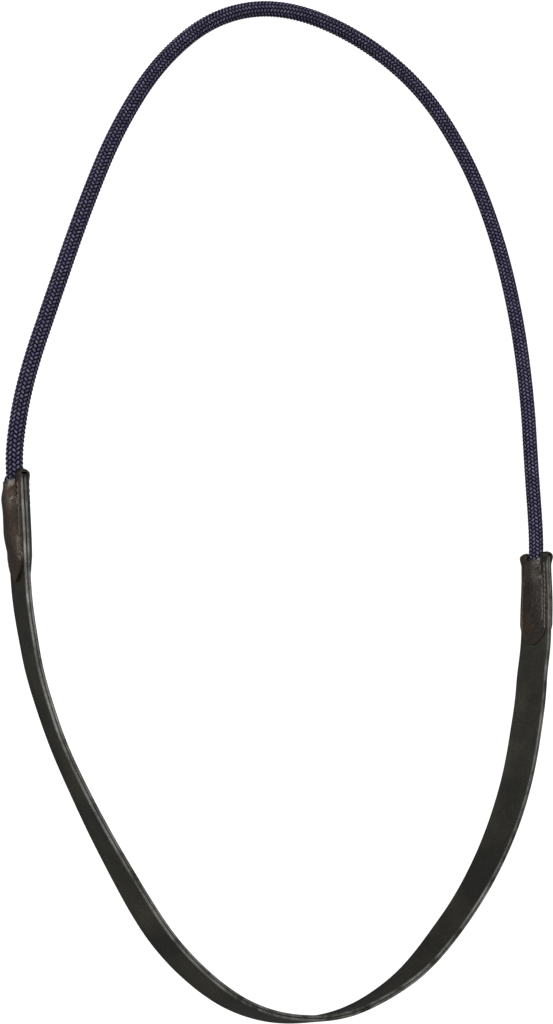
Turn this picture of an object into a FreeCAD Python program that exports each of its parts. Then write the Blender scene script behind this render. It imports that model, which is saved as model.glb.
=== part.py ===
import FreeCAD, Part
import math
import os

import Sketcher
from FreeCAD import Placement, Rotation, Vector

# A martingale neck strap: a two-ply leather strap closed into a loop by a round braided cord.
#
# Frame: the strap stands on its lower edge on the plane Z = 0. The origin is the middle of that edge,
# between the plies. X runs along the strap there, +Y points to the cord, and +Z is the strap's width.
# Each strap end has a frame of its own: "along" runs out of the strap end into the free cord, "across"
# is square to the strap's face, and both are measured from the middle of the strap's cut end.

DIMENSIONS = {
    # strap
    "strap_width": 24.0,
    "ply_thickness": 1.9,
    "run_in": 3.0,  # straight strap past the tab's tip
    # bends of the strap from its middle to its left end: radius in mm, turn in degrees
    "left_radius_a": 127.0,
    "left_turn_a": 36.0,
    "left_radius_b": 180.0,
    "left_turn_b": 18.0,
    "left_radius_c": 335.0,
    "left_turn_c": 4.0,
    "left_radius_d": 620.0,
    "left_turn_d": 8.0,
    "left_radius_e": 242.0,
    "left_turn_e": 24.0,
    # bends of the strap from its middle to its right end
    "right_radius_a": 135.0,
    "right_turn_a": 22.0,
    "right_radius_b": 160.0,
    "right_turn_b": 14.0,
    "right_radius_c": 240.0,
    "right_turn_c": 22.0,
    "right_radius_d": 225.0,
    "right_turn_d": 13.0,
    "right_radius_e": 330.0,
    "right_turn_e": 14.0,
    # cord
    "cord_diameter": 10.0,
    "core_diameter": 6.0,
    "cord_grip": 46.0,  # how far the cord's end goes into the strap
    "cord_reach": 20.0,  # from the strap's cut end to the cord's bending point
    "left_cord_offset": 3.5,  # the cord's end lies this far outward of the plies' meeting plane
    "right_cord_offset": 0.0,
    "pivot_gap": 0.3,
    "channel_clearance": 0.1,
    # whipping round the cut cord end
    "whipping_length": 6.0,
    "whipping_thickness": 0.5,
    # end tab
    "tab_thickness": 1.3,
    "tab_inset": 0.5,  # from the strap's edge to the tab's edge
    "tip_cover": 2.8,  # tab past the end of the raised part over the cord
    "fold_reach": 2.5,
    "hole_clearance": 0.3,
    # stitching
    "stitch_count": 13.0,
    "stitch_pitch": 3.4,
    "stitch_gap": 0.4,
    "first_stitch": 2.0,
    "thread_diameter": 0.8,
    "needle_clearance": 0.05,
}

# The free cord's route between its two bending points, chosen by hand: X, Y and the height of its underside.
CORD_ROUTE = [
    (-181.0, 378.0, 4.5),
    (-161.0, 432.0, 1.2),
    (-140.0, 486.0, 0.0),
    (-116.0, 538.0, 0.0),
    (-83.0, 587.0, 0.0),
    (-39.0, 621.0, 0.0),
    (15.0, 634.0, 0.0),
    (71.0, 623.0, 0.0),
    (121.0, 593.0, 0.0),
    (158.0, 549.0, 0.0),
    (180.0, 498.0, 0.0),
    (193.0, 444.0, 0.4),
    (198.0, 390.0, 2.4),
    (197.0, 341.0, 5.2),
]

BENDS = "abcde"
SIDES = ("left", "right")
ARC_SHARE = 0.45  # share of the shorter run that a route's arc takes from each side of its point
MARGIN = 5.0  # how far a cutting or keeping tool runs past the material
VOLUME_TOLERANCE = 0.01
UP = Vector(0, 0, 1)

doc = FreeCAD.newDocument("martingale_neck_strap")
sheet = doc.addObject("Spreadsheet::Sheet", "dimensions")
for row, (alias, number) in enumerate(DIMENSIONS.items(), start=1):
    sheet.set(f"A{row}", alias)
    sheet.set(f"B{row}", str(number))
    sheet.setAlias(f"B{row}", alias)
doc.recompute()


# ---------------------------------------------------------------- sizes that follow the sheet


class Size:
    """A size from the sheet or worked out from it: its number, and the formula that follows the sheet."""

    def __init__(self, number, formula=None):
        self.number = float(number)
        self.formula = formula or str(self.number)

    def __float__(self):
        return self.number

    def __add__(self, other):
        return combine(self, "+", other, float(self) + float(other))

    def __sub__(self, other):
        return combine(self, "-", other, float(self) - float(other))

    def __mul__(self, other):
        return combine(self, "*", other, float(self) * float(other))

    def __truediv__(self, other):
        return combine(self, "/", other, float(self) / float(other))


def combine(first, sign, second, number):
    second = second if isinstance(second, Size) else Size(second)
    return Size(number, f"({first.formula} {sign} {second.formula})")


def cell(alias):
    """The size in the sheet's cell of this name."""
    return Size(sheet.get(alias), f"dimensions.{alias}")


strap_width = cell("strap_width")
ply = cell("ply_thickness")
cord_radius = cell("cord_diameter") / 2
core_radius = cell("core_diameter") / 2
cord_grip = cell("cord_grip")
cord_reach = cell("cord_reach")
tab_width = strap_width - cell("tab_inset") * 2
fold_reach = cell("fold_reach")
skin = ply + cell("tab_thickness")  # from the strap's middle plane to a tab's outer face
channel_radius = cord_radius + cell("channel_clearance")
bulge_radius = cord_radius + ply  # outside of a ply where it is moulded over the cord
raised_radius = cord_radius + skin  # outside of a tab where it is moulded over the ply
tab_length = cord_grip + raised_radius + cell("tip_cover")
straight_end = tab_length + cell("run_in")
stub_length = cord_grip + cord_reach - cord_radius - cell("pivot_gap")
thread_radius = cell("thread_diameter") / 2

mid_height = float(strap_width) / 2
row_height = (float(raised_radius) + float(tab_width) / 2) / 2  # from the cord's axis to a stitch row
stitch_starts = [
    -float(cell("first_stitch")) - stitch * float(cell("stitch_pitch"))
    for stitch in range(int(float(cell("stitch_count"))))
]


# ---------------------------------------------------------------- small makers


def bind(obj, **sizes):
    """Set properties of an object, each tied to the sheet by its size's formula."""
    for prop, value in sizes.items():
        value = value if isinstance(value, Size) else Size(value)
        obj.setExpression(prop, value.formula)


def make_box(name, place, length, width, height):
    box = doc.addObject("Part::Box", name)
    bind(box, Length=length, Width=width, Height=height)
    box.Placement = place
    return box


def make_cylinder(name, place, radius, height):
    cylinder = doc.addObject("Part::Cylinder", name)
    bind(cylinder, Radius=radius, Height=height)
    cylinder.Placement = place
    return cylinder


def make_sphere(name, place, radius):
    sphere = doc.addObject("Part::Sphere", name)
    bind(sphere, Radius=radius)
    sphere.Placement = place
    return sphere


def fuse(name, shapes):
    joined = doc.addObject("Part::MultiFuse", name)
    joined.Shapes = shapes
    return joined


def cut(name, base, tool):
    result = doc.addObject("Part::Cut", name)
    result.Base = base
    result.Tool = tool
    return result


def common(name, first, second):
    kept = doc.addObject("Part::MultiCommon", name)
    kept.Shapes = [first, second]
    return kept


def make_feature(name, shape):
    feature = doc.addObject("Part::Feature", name)
    feature.Shape = shape
    feature.Placement = Placement()
    return feature


# ---------------------------------------------------------------- strap line and strap ends


def on_circle(centre, degrees, radius):
    angle = math.radians(degrees)
    return centre + Vector(math.cos(angle), math.sin(angle), 0) * radius


class Bend:
    """One bend of an arm, met on the way from the strap's middle to its end."""

    def __init__(self, side, letter, point, heading):
        sign = 1 if side == "right" else -1  # the right arm bends anticlockwise, the left one clockwise
        self.radius = cell(f"{side}_radius_{letter}")
        self.turn = cell(f"{side}_turn_{letter}")
        radius = float(self.radius)
        turn = float(self.turn)
        self.centre = on_circle(point, heading + 90 * sign, radius)
        first_angle = heading - 90 * sign
        last_angle = first_angle + turn * sign
        self.low_angle = min(first_angle, last_angle)
        self.high_angle = max(first_angle, last_angle)
        self.end_point = on_circle(self.centre, last_angle, radius)
        self.end_heading = heading + turn * sign


def arm_bends(side):
    bends = []
    point = Vector(0, 0, 0)
    heading = 0.0 if side == "right" else 180.0
    for letter in BENDS:
        bend = Bend(side, letter, point, heading)
        bends.append(bend)
        point = bend.end_point
        heading = bend.end_heading
    return bends


class StrapEnd:
    """The frame of one strap end: along (out of the strap), across (to the left of along), and up."""

    def __init__(self, side):
        last_bend = arm_bends(side)[-1]
        self.side = side
        self.along = on_circle(Vector(0, 0, 0), last_bend.end_heading, 1)
        self.across = UP.cross(self.along)
        self.mouth = last_bend.end_point + self.along * float(straight_end)
        self.outward = 1 if side == "left" else -1  # the side of "across" that faces out of the loop
        self.cord_offset = cell(f"{side}_cord_offset")
        self.cord_across = self.cord_offset * self.outward

    def point(self, along, across, up):
        return self.mouth + self.along * float(along) + self.across * float(across) + UP * float(up)

    def level(self, along, across, up):
        """A place with its own X along, Y across and Z up."""
        turned = Rotation(self.along, self.across, UP, "XYZ")
        return Placement(self.point(along, across, up), turned)

    def lengthways(self, along, across, up):
        """A place whose own Z runs along the strap end, for round pieces on the cord's axis."""
        turned = Rotation(UP, self.across, self.along, "ZYX")
        return Placement(self.point(along, across, up), turned)

    def on_cord(self, along):
        """A lengthways place on the axis of the cord's end."""
        return self.lengthways(along, self.cord_across, mid_height)

    def bending_point(self):
        return self.point(cord_reach, self.cord_across, mid_height)

    def crossways(self, along, across, up):
        """A place whose own Z runs across the strap, through its faces."""
        turned = Rotation(self.along, UP, self.across, "ZXY")
        return Placement(self.point(along, across, up), turned)


ends = {side: StrapEnd(side) for side in SIDES}


def hold_size(sketch, constraint, size, unit=""):
    """Add a constraint that measures, and tie it to the sheet."""
    index = sketch.addConstraint(constraint)
    sketch.setExpression(f"Constraints[{index}]", size.formula + unit)


def draw_strap_line():
    """One open line from the left cut end to the right one: straight ends and tangent bends."""
    sketch = doc.addObject("Sketcher::SketchObject", "strap_line")
    for side in SIDES:
        near, far = (1, 2) if side == "right" else (2, 1)  # an arc's start and end, counted anticlockwise
        previous = None
        for bend in arm_bends(side):
            circle = Part.Circle(bend.centre, UP, float(bend.radius))
            span = (math.radians(bend.low_angle), math.radians(bend.high_angle))
            arc = sketch.addGeometry(Part.ArcOfCircle(circle, *span), False)
            if previous is None:
                sketch.addConstraint(Sketcher.Constraint("Coincident", arc, near, -1, 1))
                sketch.addConstraint(Sketcher.Constraint("PointOnObject", arc, 3, -2))
            else:
                sketch.addConstraint(Sketcher.Constraint("Tangent", previous, far, arc, near))
            turn = math.radians(float(bend.turn))
            hold_size(sketch, Sketcher.Constraint("Radius", arc, float(bend.radius)), bend.radius)
            hold_size(sketch, Sketcher.Constraint("Angle", arc, turn), bend.turn, " * 1 deg")
            previous = arc
        end_line = Part.LineSegment(bend.end_point, ends[side].mouth)
        line = sketch.addGeometry(end_line, False)
        sketch.addConstraint(Sketcher.Constraint("Tangent", previous, far, line, 1))
        hold_size(sketch, Sketcher.Constraint("Distance", line, float(straight_end)), straight_end)
    doc.recompute()
    return sketch


# ---------------------------------------------------------------- pieces at a strap end


def cord_space(name, end, radius):
    """A round space on the cord's axis, from its inner end, domed, to the strap's cut end."""
    at_grip = end.on_cord(cord_grip * -1)
    barrel = make_cylinder(f"{name}_barrel", at_grip, radius, cord_grip)
    dome = make_sphere(f"{name}_dome", at_grip, radius)
    return fuse(name, [barrel, dome])


def cord_channel(end):
    """The room for the cord's end between the plies, open at the strap's cut end."""
    name = f"{end.side}_channel"
    space = cord_space(f"{name}_space", end, channel_radius)
    opening = make_cylinder(f"{name}_opening", end.on_cord(0), channel_radius, MARGIN)
    return fuse(name, [space, opening])


def needle_holes(end):
    """The needle holes of both rows of one end, one at the start of each stitch."""
    radius = float(thread_radius)
    reach = float(skin) + MARGIN
    holes = []
    for row in (-1, 1):
        for along in stitch_starts:
            start = end.point(along, -reach, mid_height + row * row_height)
            holes.append(Part.makeCylinder(radius, 2 * reach, start, end.across))
    return make_feature(f"{end.side}_needle_holes", Part.makeCompound(holes))


def half_bulge(name, end, facing):
    """The part of a ply that is moulded over the cord: half of a domed barrel."""
    whole = cord_space(f"{name}_whole", end, bulge_radius)
    reach = bulge_radius + end.cord_offset + MARGIN
    across = 0 if facing > 0 else -float(reach)
    place = end.level((cord_grip + reach) * -1, across, mid_height - float(reach))
    keep = make_box(f"{name}_keep", place, cord_grip + reach, reach, reach * 2)
    return common(name, whole, keep)


def make_ply(name, line, facing, channels, holes):
    """One ply. It lies on the outer (facing 1) or inner (facing -1) side of the strap line."""
    band = doc.addObject("Part::Offset2D", f"{name}_band")
    band.Source = line
    band.Mode = "Skin"
    band.Fill = True
    bind(band, Value=ply * facing)
    blank = doc.addObject("Part::Extrusion", f"{name}_blank")
    blank.Base = band
    blank.DirMode = "Custom"
    blank.Dir = UP
    blank.Solid = True
    bind(blank, LengthFwd=strap_width)
    bulges = [half_bulge(f"{name}_{end.side}_bulge", end, facing * end.outward) for end in ends.values()]
    moulded = fuse(f"{name}_moulded", [blank] + bulges)
    opened = cut(f"{name}_opened", moulded, channels)
    return cut(name, opened, holes)


def make_tab(end, holes):
    """The thin end tab: a tongue on each face, joined round the cut end by a fold with the cord's hole."""
    name = f"{end.side}_end_tab"
    low = mid_height - float(tab_width) / 2
    tip_centre = (tab_length - tab_width / 2) * -1
    reach = raised_radius + end.cord_offset + MARGIN

    plates = make_box(
        f"{name}_plates", end.level(tab_length * -1, skin * -1, low), tab_length + fold_reach, skin * 2, tab_width
    )
    fold = make_cylinder(f"{name}_fold", end.level(fold_reach, 0, low), skin, tab_width)
    raised = cord_space(f"{name}_raised", end, raised_radius)
    body = fuse(f"{name}_body", [plates, fold, raised])

    bar_length = fold_reach + MARGIN - tip_centre
    bar = make_box(f"{name}_bar", end.level(tip_centre, reach * -1, low), bar_length, reach * 2, tab_width)
    tip_place = end.crossways(tip_centre, reach * -1, mid_height)
    tip = make_cylinder(f"{name}_tip", tip_place, tab_width / 2, reach * 2)
    shaped = common(f"{name}_shaped", body, fuse(f"{name}_outline", [bar, tip]))

    over_height = tab_width + 2 * MARGIN
    strap_place = end.level((tab_length + MARGIN) * -1, ply * -1, low - MARGIN)
    strap_length = tab_length + MARGIN + fold_reach
    strap_room = make_box(f"{name}_strap_room", strap_place, strap_length, ply * 2, over_height)
    fold_room = make_cylinder(f"{name}_fold_room", end.level(fold_reach, 0, low - MARGIN), ply, over_height)
    bulge_room = cord_space(f"{name}_bulge_room", end, bulge_radius)
    hole_radius = cord_radius + cell("hole_clearance")
    cord_hole = make_cylinder(f"{name}_cord_hole", end.on_cord(0), hole_radius, fold_reach + skin + MARGIN)
    room = fuse(f"{name}_room", [strap_room, fold_room, bulge_room, cord_hole])
    return cut(name, cut(f"{name}_hollow", shaped, room), holes)


def make_stitches(end, name, row):
    """One row of stitches: each is a thread bar on both faces, joined by a leg through the leather."""
    radius = float(thread_radius)
    leg_radius = float(thread_radius - cell("needle_clearance"))
    bar_length = float(cell("stitch_pitch") - cell("stitch_gap"))
    face_height = float(skin) + radius
    up = mid_height + row * row_height
    stitches = []
    for along in stitch_starts:
        bars = [
            Part.makeCylinder(radius, bar_length, end.point(along + radius, face * face_height, up), end.along * -1)
            for face in (-1, 1)
        ]
        leg = Part.makeCylinder(leg_radius, 2 * face_height, end.point(along, -face_height, up), end.across)
        stitches.append(leg.fuse(bars).removeSplitter())
    return make_feature(name, Part.makeCompound(stitches))


def make_cord_end(end):
    """The cord's end: sheath and core from the grip to just short of the bending point, and its whipping."""
    side = end.side
    at_grip = end.on_cord(cord_grip * -1)
    whipping_length = cell("whipping_length")
    bound_radius = cord_radius - cell("whipping_thickness")

    def ring(name, outer_radius):
        outside = make_cylinder(f"{name}_outside", at_grip, outer_radius, whipping_length)
        inside = make_cylinder(f"{name}_inside", at_grip, bound_radius, whipping_length)
        return cut(name, outside, inside)

    outside = make_cylinder(f"{side}_cord_end_outside", at_grip, cord_radius, stub_length)
    necked = cut(f"{side}_cord_end_necked", outside, ring(f"{side}_neck", cord_radius + MARGIN))
    core_room = make_cylinder(f"{side}_core_room", at_grip, core_radius, stub_length)
    cut(f"{side}_cord_end_sheath", necked, core_room)
    make_cylinder(f"{side}_cord_end_core", at_grip, core_radius, stub_length)
    ring(f"{side}_cord_whipping", cord_radius)


# ---------------------------------------------------------------- free cord


def route_points():
    """The free cord's route, from the left bending point to the right one."""
    first, last = [ends[side].bending_point() for side in SIDES]
    between = [Vector(x, y, underside + float(cord_radius)) for x, y, underside in CORD_ROUTE]
    return [first] + between + [last]


def rounded_path(points):
    """Straight runs joined by tangent arcs, each as large as its two runs allow."""
    edges = []
    radii = []
    here = points[0]
    for before, corner, after in zip(points, points[1:], points[2:]):
        back = before - corner
        ahead = after - corner
        turn = math.pi - back.getAngle(ahead)
        setback = ARC_SHARE * min(back.Length, ahead.Length)
        back.normalize()
        ahead.normalize()
        start = corner + back * setback
        stop = corner + ahead * setback
        radius = setback / math.tan(turn / 2)
        inwards = back + ahead
        inwards.normalize()
        middle = corner + inwards * (radius / math.cos(turn / 2) - radius)
        edges.append(Part.LineSegment(here, start).toShape())
        edges.append(Part.Arc(start, middle, stop).toShape())
        radii.append(radius)
        here = stop
    edges.append(Part.LineSegment(here, points[-1]).toShape())
    return Part.Wire(edges), radii


def sweep_round(path, start, direction, radius):
    """A solid round bar along the path, checked against its section times its length."""
    section = Part.Wire(Part.Circle(start, direction, radius).toShape())
    bar = path.makePipeShell([section], True, False)
    expected = math.pi * radius**2 * path.Length
    if abs(bar.Volume - expected) > VOLUME_TOLERANCE * expected:
        raise ValueError(f"cord volume {bar.Volume:.0f} is not {expected:.0f} mm3")
    return bar


def make_free_cord():
    """The braided sheath, closed by a ball at each bending point, and the core inside it."""
    points = route_points()
    path, radii = rounded_path(points)
    direction = points[1] - points[0]
    print("free cord length", round(path.Length, 1), "mm; bend radii", [round(radius) for radius in radii])
    outside = sweep_round(path, points[0], direction, float(cord_radius))
    inside = sweep_round(path, points[0], direction, float(core_radius))
    balls = [Part.makeSphere(float(cord_radius), point) for point in (points[0], points[-1])]
    sheath = outside.fuse(balls).removeSplitter().cut(inside)
    make_feature("cord_sheath", sheath)
    make_feature("cord_core", inside)


# ---------------------------------------------------------------- build

strap_line = draw_strap_line()
end_channels = []
end_holes = []
for strap_end in ends.values():
    holes_here = needle_holes(strap_end)
    end_holes.append(holes_here)
    end_channels.append(cord_channel(strap_end))
    make_tab(strap_end, holes_here)
    make_stitches(strap_end, f"{strap_end.side}_upper_stitches", 1)
    make_stitches(strap_end, f"{strap_end.side}_lower_stitches", -1)
    make_cord_end(strap_end)
both_channels = fuse("channels", end_channels)
all_needle_holes = fuse("needle_holes", end_holes)
make_ply("strap_outer_ply", strap_line, 1, both_channels, all_needle_holes)
make_ply("strap_inner_ply", strap_line, -1, both_channels, all_needle_holes)
make_free_cord()
doc.recompute()

END_PIECES = ("end_tab", "upper_stitches", "lower_stitches", "cord_end_sheath", "cord_end_core", "cord_whipping")
nodes = ["strap_outer_ply", "strap_inner_ply", "cord_sheath", "cord_core"]
nodes += [f"{side}_{piece}" for side in SIDES for piece in END_PIECES]

for obj in doc.Objects:
    if "Invalid" in obj.State or "Error" in obj.State:
        raise ValueError(f"{obj.Name} could not be made: {obj.State}")
for node in nodes:
    shape = doc.getObject(node).Shape
    if shape.isNull() or not shape.isValid() or not shape.Solids:
        raise ValueError(f"{node} has no valid solid")

os.makedirs("parts", exist_ok=True)
for node in nodes:
    sub_part = doc.getObject(node)
    sub_part.Label = node
    sub_part.Shape.exportStep(f"parts/{node}.step")
    print(node, len(sub_part.Shape.Solids), "solids", round(sub_part.Shape.Volume, 1), "mm3")
for strap_end in ends.values():
    pivot = strap_end.bending_point()
    print(strap_end.side, "mouth", [round(c, 2) for c in strap_end.mouth], "pivot", [round(c, 2) for c in pivot])
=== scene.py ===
import math

import bmesh
import bpy
from mathutils import Matrix, Vector, noise


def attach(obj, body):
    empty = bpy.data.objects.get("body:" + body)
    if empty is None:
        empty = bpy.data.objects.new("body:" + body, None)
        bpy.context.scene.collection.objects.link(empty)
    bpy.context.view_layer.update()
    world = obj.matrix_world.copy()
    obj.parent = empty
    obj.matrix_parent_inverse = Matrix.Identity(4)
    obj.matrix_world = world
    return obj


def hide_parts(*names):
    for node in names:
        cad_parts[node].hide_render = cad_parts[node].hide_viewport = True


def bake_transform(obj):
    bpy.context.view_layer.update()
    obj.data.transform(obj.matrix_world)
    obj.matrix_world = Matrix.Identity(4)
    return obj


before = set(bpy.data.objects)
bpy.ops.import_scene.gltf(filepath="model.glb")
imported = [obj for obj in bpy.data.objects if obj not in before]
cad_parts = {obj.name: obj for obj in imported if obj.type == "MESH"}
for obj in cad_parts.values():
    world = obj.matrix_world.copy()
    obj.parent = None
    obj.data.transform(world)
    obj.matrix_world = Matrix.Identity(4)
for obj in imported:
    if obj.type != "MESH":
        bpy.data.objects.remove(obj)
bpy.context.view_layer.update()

# A martingale neck strap. The strap stands on its lower edge on Z = 0 and a braided cord closes it.
# Along the strap, places are given as (run, across, up): run is measured from the strap's middle and is
# negative to the left, across is outward from the middle plane between the plies, and up is from
# mid-height. At a strap end, "along" is measured from the strap's cut end and is positive in the cord.

# sizes in metres
STRAP_WIDTH = 0.024
PLY = 0.0019
OUTER_ROUND = 0.0009  # rounding of a ply's edge on the side that shows
SEAM_ROUND = 0.0006  # rounding of a ply's edge on the side that meets the other ply
LEFT_BENDS = ((0.127, 36), (0.180, 18), (0.335, 4), (0.620, 8), (0.242, 24))  # radius, turn in degrees
RIGHT_BENDS = ((0.135, 22), (0.160, 14), (0.240, 22), (0.225, 13), (0.330, 14))
TAB_LENGTH = 0.057
TAB_WIDTH = 0.023
TAB_THICKNESS = 0.0013
RUN_IN = 0.003
FOLD_REACH = 0.0025
CORD_RADIUS = 0.005
CORE_RADIUS = 0.0043
CORD_GRIP = 0.046
WHIPPING_LENGTH = 0.006
CORD_REACH = 0.020
CORD_OFFSET = {"left": 0.0012, "right": 0.0}  # the cord's end lies this far outward of the plies' seam
PRESSED_CORD = {"left": 0.0040, "right": 0.0036}  # half thickness of the cord's end, deep in the strap
PRESSED_WIDTH = 0.0060  # half width of the cord's end, deep in the strap
ROUND_CORD = -0.008  # inside a strap end the cord is round as far as this, and squeezed flatter past it
SQUEEZE_LENGTH = 0.012  # the cord goes from round to flat over this length
RIGHT_SHORTER = 0.0024  # the right strap end stops this far short of what its bends give
WAIST_DEPTH = 0.075  # share of the strap's width that the waist takes away
MOULD_FILLET = 0.0022  # hollow rounding where the raised part over the cord meets the flat leather
TAB_COLUMNS = 20
HOLE_COLUMN = 3  # columns from the tab's middle to the edge of the cord's hole
SIDES = {"left": -1, "right": 1}

# how far the strap's top edge leans outward, in degrees, where the lean turns or stops
LEAN = ((-0.40, 6), (-0.27, 10), (-0.10, -8), (0.03, -8), (0.12, 4), (0.22, 11), (0.40, 6))
# how far the soft strap lies outward of its even bends, in metres, at places along it
SWAY = ((-0.41, 0.0026), (-0.36, 0.0024), (-0.31, 0.0004), (-0.27, -0.0008), (-0.19, -0.0012), (-0.12, 0.0),
        (-0.06, 0.0005), (0.0, 0.0), (0.06, -0.0012), (0.12, -0.0026), (0.19, -0.0025), (0.25, -0.0020),
        (0.29, -0.0010), (0.325, 0.0020), (0.35, 0.0024), (0.38, 0.0018))

# the free cord's route between its two bending points: the CAD's list, moved by up to 6 mm for the look
CORD_ROUTE = (
    (-0.183, 0.378, 0.0095), (-0.160, 0.432, 0.0062), (-0.1375, 0.486, 0.005), (-0.1135, 0.537, 0.005),
    (-0.0805, 0.5855, 0.005), (-0.037, 0.622, 0.005), (0.015, 0.636, 0.005), (0.073, 0.6255, 0.005),
    (0.125, 0.5975, 0.005), (0.1615, 0.551, 0.005), (0.1835, 0.499, 0.005), (0.1955, 0.4445, 0.0054),
    (0.1985, 0.390, 0.0074), (0.1955, 0.341, 0.0102),
)


# ---------------------------------------------------------------- camera


def make_camera():
    camera = bpy.data.objects.new("camera", bpy.data.cameras.new("camera"))
    bpy.context.scene.collection.objects.link(camera)
    place = (-0.6847, 0.1642, 0.9940)
    toward = math.radians(191.91)
    tilt = math.radians(34.84)
    roll = math.radians(-0.69)
    tilt_axis = Vector((-math.sin(toward), math.cos(toward), 0))
    tilted = Matrix.Rotation(tilt, 4, tilt_axis) @ Matrix.Rotation(roll, 4, "Z")
    camera.matrix_world = Matrix.Translation(place) @ tilted
    camera.data.sensor_fit = "VERTICAL"
    camera.data.sensor_height = 36
    camera.data.lens = 68.6
    bpy.context.scene.camera = camera


make_camera()


# ---------------------------------------------------------------- places along the strap


def smooth(low, high, value):
    """0 below low, 1 above high, and an even rise between them."""
    share = min(max((value - low) / (high - low), 0), 1)
    return share * share * (3 - 2 * share)


def arm_length(bends):
    return sum(radius * math.radians(turn) for radius, turn in bends) + TAB_LENGTH + RUN_IN


ARM_LENGTH = {"left": arm_length(LEFT_BENDS), "right": arm_length(RIGHT_BENDS) - RIGHT_SHORTER}


def walk_arm(run):
    """The point and the direction from left to right at this run, on the strap's middle plane."""
    side = 1 if run >= 0 else -1
    bends = RIGHT_BENDS if run >= 0 else LEFT_BENDS
    heading = 0 if run >= 0 else math.pi
    point = Vector((0, 0, 0))
    remaining = abs(run)
    for radius, turn in bends:
        part = min(remaining, radius * math.radians(turn))
        ahead = heading + side * part / radius
        step = Vector((math.sin(ahead) - math.sin(heading), math.cos(heading) - math.cos(ahead), 0))
        point += step * radius * side
        heading = ahead
        remaining -= part
    direction = Vector((math.cos(heading), math.sin(heading), 0))
    return point + direction * remaining, direction * side


def between(table, run):
    """The value at this run, from a table of places along the strap."""
    for (start, first), (stop, last) in zip(table, table[1:]):
        if run <= stop:
            break
    return first + (last - first) * smooth(start, stop, run)


class Station:
    """One place along the strap: its middle and the directions along, outward and up its leaning face."""

    def __init__(self, run):
        point, self.ahead = walk_arm(run)
        lean = math.radians(between(LEAN, run))
        level = Vector((self.ahead.y, -self.ahead.x, 0))
        self.up = Vector((0, 0, math.cos(lean))) + level * math.sin(lean)
        self.outward = level * math.cos(lean) - Vector((0, 0, math.sin(lean)))
        rise = STRAP_WIDTH / 2 * math.cos(lean) + PLY * abs(math.sin(lean))
        self.middle = point + level * between(SWAY, run) + Vector((0, 0, rise))

    def point(self, across, up):
        return self.middle + self.outward * across + self.up * up


def end_run(side, along):
    """The run of a place near a strap end."""
    return SIDES[side] * (ARM_LENGTH[side] + along)


def along_at(run):
    return abs(run) - ARM_LENGTH["left" if run < 0 else "right"]


def cord_end_form(side, along):
    """Half thickness, half width and outward shift of the cord's end inside the strap end."""
    roundness = smooth(ROUND_CORD - SQUEEZE_LENGTH, ROUND_CORD, along)
    full = CORD_RADIUS + 0.0001
    half_thickness = PRESSED_CORD[side] + (full - PRESSED_CORD[side]) * roundness
    half_width = PRESSED_WIDTH + (full - PRESSED_WIDTH) * roundness
    return half_thickness, half_width, CORD_OFFSET[side]


def thinning(along):
    """The leather over the cord is pared down toward the strap's cut end: its share of the full thickness."""
    return 1 - 0.8 * smooth(-0.012, -0.002, along)


def leather_height(side, facing, along, up):
    """How high a ply's outer face lies over the seam: flat, or moulded over the cord's end."""
    swell = smooth(-CORD_GRIP - 0.010, -CORD_GRIP + 0.018, along)
    if swell == 0:
        return PLY
    half_thickness, half_width, shift = cord_end_form(side, along)
    skin = PLY * thinning(along)
    inside = max(1 - (up / (half_width + skin)) ** 2, 0)
    barrel = facing * shift + (half_thickness + skin) * math.sqrt(inside)
    overlap = max(MOULD_FILLET - abs(barrel - PLY), 0) / MOULD_FILLET
    return PLY + swell * (max(barrel, PLY) - PLY + overlap**2 * MOULD_FILLET / 4)


def waist(along):
    """The strap's end is drawn in a little behind the ears of its tab."""
    return 1 - WAIST_DEPTH * smooth(-0.034, -0.006, along)


def ripple(run, up):
    """The slight unevenness of soft leather that has been bent and worn."""
    broad = noise.noise(Vector((run * 28, up * 45, 3.1)))
    fine = noise.noise(Vector((run * 110, up * 150, 7.7)))
    return broad * 0.00022 + fine * 0.00005


def tab_up(column):
    """The height of a column of the end tab's points; the columns close up toward its edges."""
    return TAB_WIDTH / 2 * math.sin(math.pi * (column / TAB_COLUMNS - 0.5))


HOLE_HALF = tab_up(TAB_COLUMNS // 2 + HOLE_COLUMN)  # half height of the cord's hole


# ---------------------------------------------------------------- meshes


def new_piece(name, mesh, body=None, replaced=(), material=None):
    piece = bpy.data.objects.new(name, mesh)
    bpy.context.scene.collection.objects.link(piece)
    if material:
        mesh.materials.clear()
        mesh.materials.append(material)
    mesh.polygons.foreach_set("use_smooth", [True] * len(mesh.polygons))
    if replaced:
        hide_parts(*replaced)
    if body:
        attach(piece, body)
    return piece


def finished_mesh(name, piece):
    """The piece's evaluated shape as a plain mesh; the piece itself is removed."""
    depsgraph = bpy.context.evaluated_depsgraph_get()
    mesh = bpy.data.meshes.new_from_object(piece.evaluated_get(depsgraph), depsgraph=depsgraph)
    mesh.name = name
    bpy.data.objects.remove(piece)
    return mesh


def mesh_of(name, points, faces, values=None):
    """A mesh with its normals outward; values is a number for each point, kept as the attribute "edge"."""
    mesh = bpy.data.meshes.new(name)
    mesh.from_pydata(points, [], faces)
    if values:
        mesh.attributes.new("edge", "FLOAT", "POINT").data.foreach_set("value", values)
    turned = bmesh.new()
    turned.from_mesh(mesh)
    bmesh.ops.recalc_face_normals(turned, faces=turned.faces)
    turned.to_mesh(mesh)
    turned.free()
    return mesh


def ring_faces(rings, size, closed_ends=True):
    """Faces of a bar made of rings of points, with its ends closed or open."""
    faces = []
    for ring in range(rings - 1):
        here = ring * size
        there = here + size
        for k in range(size):
            beside = (k + 1) % size
            faces.append((here + k, here + beside, there + beside, there + k))
    if closed_ends:
        faces.append(tuple(range(size)))
        faces.append(tuple((rings - 1) * size + k for k in range(size)))
    return faces


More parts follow.
